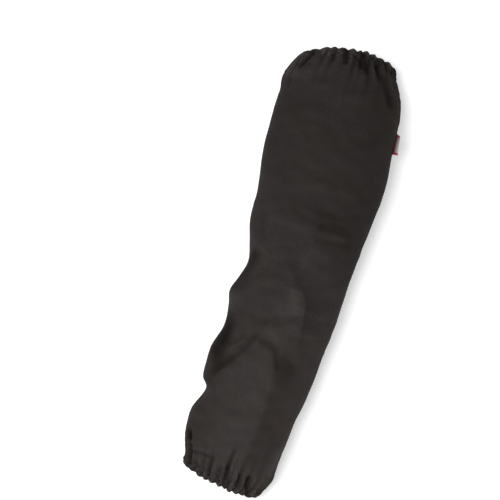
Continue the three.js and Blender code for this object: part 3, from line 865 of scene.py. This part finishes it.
class Finish:
    """One material and its nodes."""

    def __init__(self, name, **constants):
        self.material = bpy.data.materials.new(name)
        self.material.use_nodes = True
        self.tree = self.material.node_tree
        self.shader = self.tree.nodes["Principled BSDF"]
        for socket, value in constants.items():
            self.shader.inputs[socket.replace("_", " ")].default_value = value

    def node(self, kind, settings, inputs):
        """Adds a node, sets its settings and then its sockets to values or links."""
        node = self.tree.nodes.new(kind)
        for setting, value in settings.items():
            setattr(node, setting, value)
        for socket, value in inputs.items():
            self.put(node.inputs[socket], value)
        return node

    def put(self, socket, value):
        """Links the socket if the value varies, and else sets it."""
        if isinstance(value, Socket):
            value = value.out
        if isinstance(value, bpy.types.NodeSocket):
            self.tree.links.new(value, socket)
        else:
            socket.default_value = value

    def uv(self):
        """The piece's own map, in metres."""
        return self.node("ShaderNodeUVMap", {"uv_map": "cloth"}, {}).outputs[0]

    def place(self):
        """The place on the object, in metres."""
        return self.node("ShaderNodeTexCoord", {}, {}).outputs["Object"]

    def axes(self, vector):
        """The three parts of a vector."""
        node = self.node("ShaderNodeSeparateXYZ", {}, {0: vector})
        return [Socket(self, out) for out in node.outputs]

    def noise(self, vector, scale, detail, rough):
        """Soft noise from 0 to 1."""
        inputs = {"Vector": vector, "Scale": scale, "Detail": detail, "Roughness": rough}
        return Socket(self, self.node("ShaderNodeTexNoise", {}, inputs).outputs[0])

    def mark(self, name):
        """A value that the mesh holds for each point."""
        node = self.node("ShaderNodeAttribute", {"attribute_name": name}, {})
        return Socket(self, node.outputs["Fac"])

    def mix(self, factor, first, second, blend="MIX"):
        """The first colour with the second blended in by the factor."""
        settings = {"data_type": "RGBA", "blend_type": blend}
        return self.node("ShaderNodeMix", settings, {0: factor, 6: first, 7: second}).outputs[2]

    def darkened(self, colour, shades):
        """The colour with each of its three parts times its own shade."""
        grey = self.node("ShaderNodeCombineXYZ", {}, dict(enumerate(shades))).outputs[0]
        return self.mix(1.0, colour, grey, "MULTIPLY")

    def output(self, colour, roughness, height, relief, strength=0.8):
        """Links the colour, roughness and the height that makes the bump, in metres of relief."""
        self.put(self.shader.inputs["Base Color"], colour)
        self.put(self.shader.inputs["Roughness"], roughness)
        inputs = {"Strength": strength, "Distance": relief, "Height": height}
        self.put(self.shader.inputs["Normal"], self.node("ShaderNodeBump", {}, inputs).outputs[0])
        return self.material


def cloth_finish(colours):
    """Brushed flame-resistant cotton twill: diagonal ribs crossed by threads, a soft nap in lighter
    and darker patches, lighter towards the wrist, warmer patches by the upper mouth and on the
    right flank, where they are painted warm light bounced onto it, and a little lint. The mesh's
    shade values paint shade into it, darker and browner where they are high, and paint highlights
    where they are negative."""
    name = "sleeve_cloth"
    done = bpy.data.materials.get(name)
    if done:
        return done
    finish = Finish(
        name,
        Sheen_Weight=colours.sheen,
        Sheen_Roughness=0.55,
        Sheen_Tint=(0.62, 0.56, 0.52, 1),
        Specular_IOR_Level=0.06,
    )
    uv, place = finish.uv(), finish.place()
    around, along, _ = finish.axes(uv)
    x, y, _ = finish.axes(place)
    rib = (around + along).wave(colours.weave_pitch)
    weft = (along - around).wave(colours.weave_pitch / 2)
    stretch = {"Vector": uv, "Rotation": (0, 0, math.pi / 4), "Scale": YARN_STRETCH}
    yarn = finish.noise(finish.node("ShaderNodeMapping", {}, stretch).outputs[0], *YARN)
    weave = rib * RIB_SHARE + weft * WEFT_SHARE + yarn * YARN_SHARE
    nap = finish.noise(place, *NAP)

    patches = [(finish.noise(place, *kind) - 0.5) * share for kind, share in TONE_PATCHES]
    tone = sum(patches, TONE_MIDDLE - y * TONE_FALL)
    tone = Socket(finish, finish.node("ShaderNodeClamp", {}, {0: tone}).outputs[0])
    base = finish.mix(tone, (*colours.cloth_dark, 1), (*colours.cloth_light, 1))
    # Warm patches: some everywhere, more by the upper mouth, and more on the right flank as painted
    # warm bounce light
    warmed = x.above(*WARM_BOUNCE_FLANK) * WARM_BOUNCE_SHARE + y.above(*WARM_END) * WARM_END_SHARE
    warm = finish.noise(place, *WARM_PATCHES).above(*WARM_EDGE) * (warmed + WARM_SHARE)
    base = finish.mix(warm, base, WARM_TINT, "MULTIPLY")

    # The shade values paint shade into the colour, browner where it is darker, and paint highlights
    # where they are negative
    mark = finish.mark("shade")
    hollow = mark.maths("MAXIMUM", mark, 0.0)
    shade = (WEAVE_DARK + weave * WEAVE_LIGHT) * SHADE_STRENGTH ** mark
    base = finish.darkened(base, [shade * tint ** hollow for tint in PAINTED_SHADE_TINT])
    lint = finish.noise(place, *LINT).above(*LINT_EDGE) * LINT_SHARE
    base = finish.mix(lint, base, (*colours.lint, 1))
    roughness = ROUGHNESS + (nap - 0.5) * ROUGHNESS_SPAN
    height = weave * WEAVE_RELIEF + nap * NAP_RELIEF
    return finish.output(base, roughness, height, relief=0.22 * MM)


def thread_finish(colours):
    """Spun sewing thread, slightly smoother and lighter than the cloth."""
    finish = Finish("black_thread", Sheen_Weight=0.02, Specular_IOR_Level=0.15)
    twist = finish.noise(finish.place(), *TWIST)
    base = finish.mix(twist, (*colours.cloth_dark, 1), (*colours.thread, 1))
    return finish.output(base, 0.6 + twist * 0.2, twist, relief=0.1 * MM, strength=0.6)


def elastic_finish(colours):
    """Ribbed elastic tape: rubber ribs along it under white braid."""
    finish = Finish("ribbed_elastic", Sheen_Weight=0.15)
    place = finish.place()
    _, y, _ = finish.axes(place)
    braid = finish.noise(place, *BRAID)
    tone = y.wave(ELASTIC_RIB) * 0.5 + braid * 0.5
    base = finish.mix(tone, ELASTIC_RUBBER, (*colours.elastic, 1))
    return finish.output(base, 0.7 + braid * 0.2, tone, relief=0.25 * MM)


def label_finish(colours):
    """Damask-woven label: red ends inside thin dark lines, a pink band next to a bare grey field
    on its outer part, dark along the seam, and fine weft lines."""
    finish = Finish("label_weave", Sheen_Weight=0.2, Specular_IOR_Level=0.45)
    reach, along, _ = finish.axes(finish.uv())
    weft, warp = along.wave(LABEL_WEFT), reach.wave(LABEL_WARP)
    fuzz = finish.noise(finish.place(), *FUZZ)
    middle = LABEL_LENGTH / 2
    inner = (middle - (along - middle).size()) - LABEL_END
    pink = inner.above(0.0, 0.3 * MM)
    panel = pink * reach.above(LABEL_REACH * LABEL_FIELD, 0.3 * MM)
    line = (1.0 - inner.size().above(LABEL_LINE, 0.2 * MM)) * 0.8
    by_seam = (1.0 - reach.above(LABEL_REACH * LABEL_DARK_PART, 1.2 * MM)) * pink * 0.85
    base = finish.mix(pink, (*colours.label_red, 1), (*colours.label_pink, 1))
    base = finish.mix(panel, base, (*colours.label_grey, 1))
    base = finish.mix(line.maths("MAXIMUM", line, by_seam), base, LABEL_DARK)
    shade = 0.78 + (weft * 0.5 + fuzz * 0.5) * 0.42
    height = weft * 0.6 + warp * 0.4 + fuzz * 0.3
    base = finish.darkened(base, [shade] * 3)
    return finish.output(base, 0.62 + fuzz * 0.2, height, relief=0.12 * MM)


# Sizes and colours that a user would change


def distance(name, default, description):
    return FloatProperty(name=name, description=description, default=default, subtype="DISTANCE")


def colour(name, default, description):
    return FloatVectorProperty(
        name=name, description=description, default=default, size=3, min=0, max=1, subtype="COLOR"
    )


class SleeveSizes(PropertyGroup):
    """Sizes of the sleeve as it lies."""

    length: distance("Length", 527 * MM, "Along the middle, from fold to fold")
    width: distance("Width", 150 * MM, "Across the upper arm")
    height: distance("Height", 86 * MM, "Top of the upper arm over the surface")
    cloth_wall: distance("Cloth wall", 1.4 * MM, "Thickness of the cloth")
    ruffle_count: IntProperty(
        name="Ruffles", description="Ruffles round each mouth", default=28, min=6
    )
    ruffle_height: distance("Ruffle height", 3.4 * MM, "How far a ruffle puffs out at the hem")
    scallop_depth: distance("Scallop depth", 2.3 * MM, "How far the fold waves along the sleeve")
    crease_share: FloatProperty(
        name="Creases", description="Depth of the creases, as a share of that in the table",
        default=1.0, subtype="FACTOR",
    )


class SleeveColours(PropertyGroup):
    """Colours and finish of the cloth, thread, elastic and label."""

    cloth_dark: colour("Cloth, dark", (0.0105, 0.009, 0.0085), "Cloth in its darkest patches")
    # The light end of the cloth's tone, which grows lighter towards the wrist and in random patches
    cloth_light: colour("Cloth, light", (0.037, 0.0318, 0.0303), "Cloth where it has faded")
    lint: colour("Lint", (0.16, 0.15, 0.14), "Loose fibres on the nap")
    thread: colour("Thread", (0.026, 0.023, 0.022), "Light side of the sewing thread")
    elastic: colour("Elastic", (0.68, 0.64, 0.56), "White braid of the elastic")
    label_red: colour("Label red", (0.4, 0.012, 0.04), "Ends of the label")
    label_pink: colour("Label band", (0.56, 0.13, 0.19), "Paler red beside the label's field")
    label_grey: colour("Label field", (0.36, 0.38, 0.38), "Bare grey field of the label")
    weave_pitch: distance("Weave pitch", 0.9 * MM, "Distance between the ribs of the twill")
    sheen: FloatProperty(
        name="Nap sheen", description="Weight of the soft sheen on the nap",
        default=0.01, min=0, max=1, subtype="FACTOR",
    )


class SleeveStage(PropertyGroup):
    """Floor, light and camera."""

    floor: colour("Floor", (0.92, 0.92, 0.92), "Colour of the plain floor")
    floor_glow: FloatProperty(
        name="Floor glow", description="Light that the backlit floor gives off", default=0.25, min=0
    )
    sky: FloatProperty(
        name="Even light", description="Strength of the even light from all round",
        default=0.7, min=0,
    )
    key: FloatProperty(
        name="Key light", description="Power of the large soft light", default=22.0, min=0,
        subtype="POWER",
    )
    camera_height: distance("Camera height", 1.646, "Height of the camera over the floor")
    camera_lens: FloatProperty(
        name="Lens", description="Focal length of the camera", default=100.0,
        subtype="DISTANCE_CAMERA",
    )


def dress(piece, slot, *nodes):
    """A piece rides on the part's one body and stands for nodes. The slot is not used."""
    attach(piece, "root")
    if nodes:
        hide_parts(*nodes)
    return piece


class SLEEVE_OT_hems(Operator):
    """Make the two turned hems with their ruffles"""

    bl_idname = "sleeve.hems"
    bl_label = "Hems"

    def execute(self, context):
        form = Form(context.scene.sleeve_sizes)
        cloth = cloth_finish(context.scene.sleeve_colours)
        angle = np.arange(HEM_COLUMNS) / HEM_COLUMNS * TURN
        for name, end in (("wrist_hem", form.wrist), ("upper_hem", form.upper)):
            profile = hem_profile(form)
            if end.inward > 0:
                profile = profile[::-1]
            outward, depth, ruffle = profile.T[:, :, None]
            points, shade = form.hem_point(end, angle, outward, depth, ruffle)
            steps = np.hypot(*np.diff(np.append(profile, profile[:1], 0)[:, :2], axis=0).T)
            v = np.concatenate([[0.0], np.cumsum(steps)])
            dress(ring_piece(name + "_cloth", points, v, cloth, shade), "cloth", name)
        return {"FINISHED"}


class SLEEVE_OT_body(Operator):
    """Make the cloth tube between the hems"""

    bl_idname = "sleeve.body"
    bl_label = "Cloth tube"

    def execute(self, context):
        form = Form(context.scene.sleeve_sizes)
        cloth = cloth_finish(context.scene.sleeve_colours)
        angle = np.arange(BODY_COLUMNS) / BODY_COLUMNS * TURN
        share = np.linspace(0, 1, OUTER_ROWS)
        share = share - ROW_CROWDING * np.sin(TURN * share) / TURN
        start = form.stitch_line(form.wrist) + JOIN
        stop = form.stitch_line(form.upper) - JOIN
        outer = start + (stop - start) * share
        outer = np.concatenate([[start, start + EDGE_ROW], outer[1:-1], [stop - EDGE_ROW, stop]])
        inner = np.unique(np.append(outer[::INNER_STEP], outer[-1]))[::-1]
        y = np.concatenate([outer, inner])[:, None]
        depth = np.concatenate([np.zeros(len(outer)), np.full(len(inner), form.wall)])[:, None]
        points, shade = form.body_point(angle, y, depth)
        v = np.append(y[:, 0], y[0, 0])
        piece = ring_piece("sleeve_cloth_tube", points, v, cloth, shade)
        dress(piece, "cloth", "sleeve_body")
        return {"FINISHED"}


class SLEEVE_OT_stitches(Operator):
    """Make the rows of stitches on the hems and beside the seam"""

    bl_idname = "sleeve.stitches"
    bl_label = "Stitches"

    def execute(self, context):
        form = Form(context.scene.sleeve_sizes)
        thread = thread_finish(context.scene.sleeve_colours)
        for name, end in (("wrist_stitches", form.wrist), ("upper_stitches", form.upper)):
            count = HEM_STITCHES
            first = np.arange(count) / count * TURN
            last = first + STITCH_SHARE * TURN / count
            outward = np.full(count, HEM_STITCH_INSET)
            ends = [
                form.hem_point(end, angle, outward, np.zeros(count), np.ones(count))[0]
                for angle in (first, last)
            ]
            inside = form.hem_point(end, first, outward, np.full(count, MM), np.ones(count))[0]
            up = ends[0] - inside
            up = np.where(np.linalg.norm(up, axis=1, keepdims=True) > 1e-6, up, (0.0, 0.0, -1.0))
            dress(thread_piece(name, *ends, up, STITCH_RADIUS, thread), "cloth")
        count = SEAM_STITCHES
        start = form.stitch_line(form.wrist) + SEAM_STITCH_END
        stop = form.stitch_line(form.upper) - SEAM_STITCH_END
        step = (stop - start) / count
        first = start + np.arange(count) * step
        last = first + STITCH_SHARE * step
        angle = np.full(count, SEAM_ANGLE - SEAM_STITCH_ASIDE / MEAN_RADIUS)
        ends = [form.body_point(angle, y, np.zeros(count))[0] for y in (first, last)]
        inside = form.body_point(angle, first, np.full(count, MM))[0]
        piece = thread_piece("seam_stitches", *ends, ends[0] - inside, STITCH_RADIUS, thread)
        dress(piece, "cloth")
        return {"FINISHED"}


class SLEEVE_OT_label(Operator):
    """Make the folded woven label that is caught in the seam"""

    bl_idname = "sleeve.label"
    bl_label = "Woven label"

    def execute(self, context):
        form = Form(context.scene.sleeve_sizes)
        weave = label_finish(context.scene.sleeve_colours)
        rows = np.linspace(0, 1, LABEL_ROWS)[:, None]
        start = LABEL_PLACE * form.length - LABEL_FOOT / 2
        y = start + LABEL_LENGTH * rows
        foot, _ = form.body_point(np.array([SEAM_ANGLE]), y, 0.0)
        radius = (LABEL_THICKNESS - LABEL_TAPE) / 2
        flat = np.linspace(-LABEL_ROOT, LABEL_REACH - LABEL_THICKNESS / 2, LABEL_FLAT_POINTS)
        turn = np.linspace(-0.5, 0.5, LABEL_TURN_POINTS)[1:-1] * math.pi
        reach = np.concatenate([flat, flat[-1] + np.cos(turn) * radius, flat[::-1]])
        layer = np.full(LABEL_FLAT_POINTS, radius)
        side = np.concatenate([-layer, np.sin(turn) * radius, layer])
        side *= 1 - LABEL_PINCH * np.cos(np.clip(reach / LABEL_REACH, 0, 1) * math.pi / 2) ** 2
        curl = LABEL_CURL * np.sin(rows * math.pi * 1.6 + 0.4) * (reach / LABEL_REACH) ** 2
        tilt = LABEL_TILT + LABEL_TWIST * (rows[..., None] - 0.5) * (reach / LABEL_REACH)[:, None]
        out = np.concatenate([np.cos(tilt), 0 * tilt, np.sin(tilt)], -1)
        over = np.concatenate([-np.sin(tilt), 0 * tilt, np.cos(tilt)], -1)
        foot = foot + np.array([CLEARANCE + LABEL_THICKNESS / 2, 0.0, 0.0])
        points = foot + out * reach[:, None] + over * (side + curl)[..., None]
        points[..., 1] -= LABEL_SLOPE * rows * reach / LABEL_REACH
        faces, places = grid_faces(len(rows), len(reach), False, False)
        uv = np.stack([reach[places[:, 1]], rows[places[:, 0], 0] * LABEL_LENGTH], -1)
        piece = mesh_piece("woven_side_label", points.reshape(-1, 3), faces, weave, uv)
        tape = piece.modifiers.new("tape", "SOLIDIFY")
        tape.thickness, tape.offset, tape.use_even_offset = LABEL_TAPE, 0.0, True
        dress(piece, "woven_label", "side_label")
        return {"FINISHED"}


class SLEEVE_OT_elastics(Operator):
    """Give the two elastics in the hems their ribbed finish"""

    bl_idname = "sleeve.elastics"
    bl_label = "Elastics"

    def execute(self, context):
        elastic = elastic_finish(context.scene.sleeve_colours)
        for name in ("wrist_elastic", "upper_elastic"):
            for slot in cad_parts[name].material_slots:
                slot.material = elastic
        return {"FINISHED"}


class SLEEVE_OT_stage(Operator):
    """Make the plain floor, the soft light and the camera"""

    bl_idname = "sleeve.stage"
    bl_label = "Stage"

    def execute(self, context):
        stage = context.scene.sleeve_stage
        finish = Finish("pale_floor", Roughness=0.9, Specular_IOR_Level=0.1)
        finish.shader.inputs["Base Color"].default_value = (*stage.floor, 1)
        finish.shader.inputs["Emission Color"].default_value = (1, 1, 1, 1)
        finish.shader.inputs["Emission Strength"].default_value = stage.floor_glow
        reach = np.linspace(-FLOOR_REACH, FLOOR_REACH, FLOOR_POINTS)
        x, y = np.meshgrid(reach, reach, indexing="ij")
        points = np.stack([x, y, np.full(x.shape, -FLOOR_DROP)], -1).reshape(-1, 3)
        faces, _ = grid_faces(FLOOR_POINTS, FLOOR_POINTS, False, False)
        mesh_piece("floor", points, faces, finish.material)

        world = bpy.data.worlds.new("even_light")
        world.use_nodes = True
        sky = world.node_tree.nodes["Background"]
        sky.inputs["Color"].default_value = (1, 1, 1, 1)
        sky.inputs["Strength"].default_value = stage.sky
        context.scene.world = world

        light = bpy.data.lights.new("key", "AREA")
        light.energy, light.size = stage.key, KEY_SIZE
        key = bpy.data.objects.new("key", light)
        key.location = KEY_PLACE
        key.rotation_euler = (-key.location).to_track_quat("-Z", "Y").to_euler()
        context.scene.collection.objects.link(key)

        lens = bpy.data.cameras.new("camera")
        lens.lens, lens.sensor_width = stage.camera_lens, SENSOR_WIDTH
        lens.clip_start, lens.clip_end = 0.05, 30.0
        camera = bpy.data.objects.new("camera", lens)
        camera.location = (AXIS_X + CAMERA_ASIDE, STATION_Y + CAMERA_ALONG, stage.camera_height)
        camera.rotation_euler = (0.0, 0.0, CAMERA_TURN)
        context.scene.collection.objects.link(camera)
        context.scene.camera = camera
        context.scene.view_settings.view_transform = "Standard"
        return {"FINISHED"}


class SLEEVE_PT_panel(Panel):
    """Lists the steps that make the sleeve, and its sizes and colours"""

    bl_label = "Welding sleeve"
    bl_idname = "SLEEVE_PT_panel"
    bl_space_type = "VIEW_3D"
    bl_region_type = "UI"
    bl_category = "Sleeve"

    def draw(self, context):
        for step in STEPS:
            self.layout.operator(step.bl_idname)
        for group in GROUPS:
            box = self.layout.box()
            for name in GROUPS[group].__annotations__:
                box.prop(getattr(context.scene, group), name)


STEPS = (
    SLEEVE_OT_hems, SLEEVE_OT_label, SLEEVE_OT_stitches, SLEEVE_OT_body, SLEEVE_OT_elastics,
    SLEEVE_OT_stage,
)
GROUPS = {
    "sleeve_sizes": SleeveSizes, "sleeve_colours": SleeveColours, "sleeve_stage": SleeveStage,
}


def register():
    for cls in (*GROUPS.values(), *STEPS, SLEEVE_PT_panel):
        bpy.utils.register_class(cls)
    for name, group in GROUPS.items():
        setattr(bpy.types.Scene, name, PointerProperty(type=group))


def unregister():
    for name in GROUPS:
        delattr(bpy.types.Scene, name)
    for cls in reversed((*GROUPS.values(), *STEPS, SLEEVE_PT_panel)):
        bpy.utils.unregister_class(cls)


def main():
    register()
    bpy.ops.sleeve.hems()
    bpy.ops.sleeve.label()
    bpy.ops.sleeve.stitches()
    bpy.ops.sleeve.body()
    bpy.ops.sleeve.elastics()
    bpy.ops.sleeve.stage()


if __name__ == "__main__":
    main()
